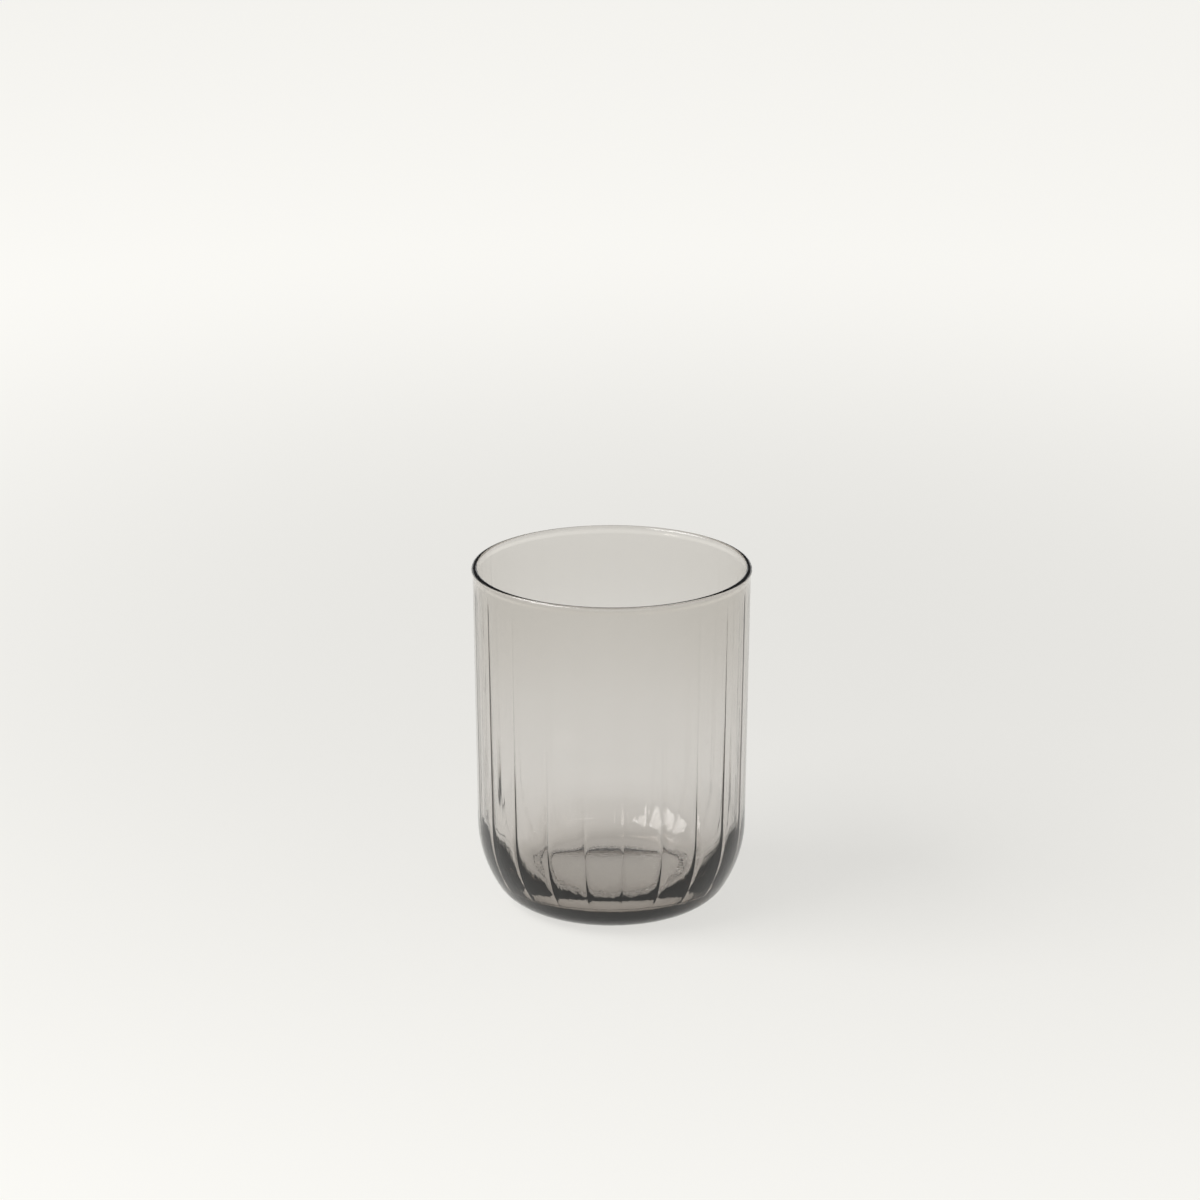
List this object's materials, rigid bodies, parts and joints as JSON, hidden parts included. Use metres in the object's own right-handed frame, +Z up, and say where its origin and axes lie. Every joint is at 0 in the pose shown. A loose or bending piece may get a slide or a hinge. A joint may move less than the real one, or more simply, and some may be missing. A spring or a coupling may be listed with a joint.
{
  "type": "tumbler glass",
  "caption": "Straight-sided smoke-grey drinking tumbler with a thin beaded lip, round heel, thick base and fine upright ribs moulded inside. It holds a drink and stands on a low ring.",
  "frame": {"origin": "centre of the foot, on the surface that the glass stands on", "axes": "+Z up along the glass's axis; -Y is the side that the picture shows"},
  "size_m": [0.08, 0.08, 0.1004],
  "materials": {
    "smoke_glass": "clear polished glass, tinted smoke grey through its whole thickness"
  },
  "bodies": {
    "root": {"lip": "smoke_glass", "side_wall": "smoke_glass", "heel": "smoke_glass", "base": "smoke_glass", "bearing_ring": "smoke_glass"}
  },
  "joints": []
}
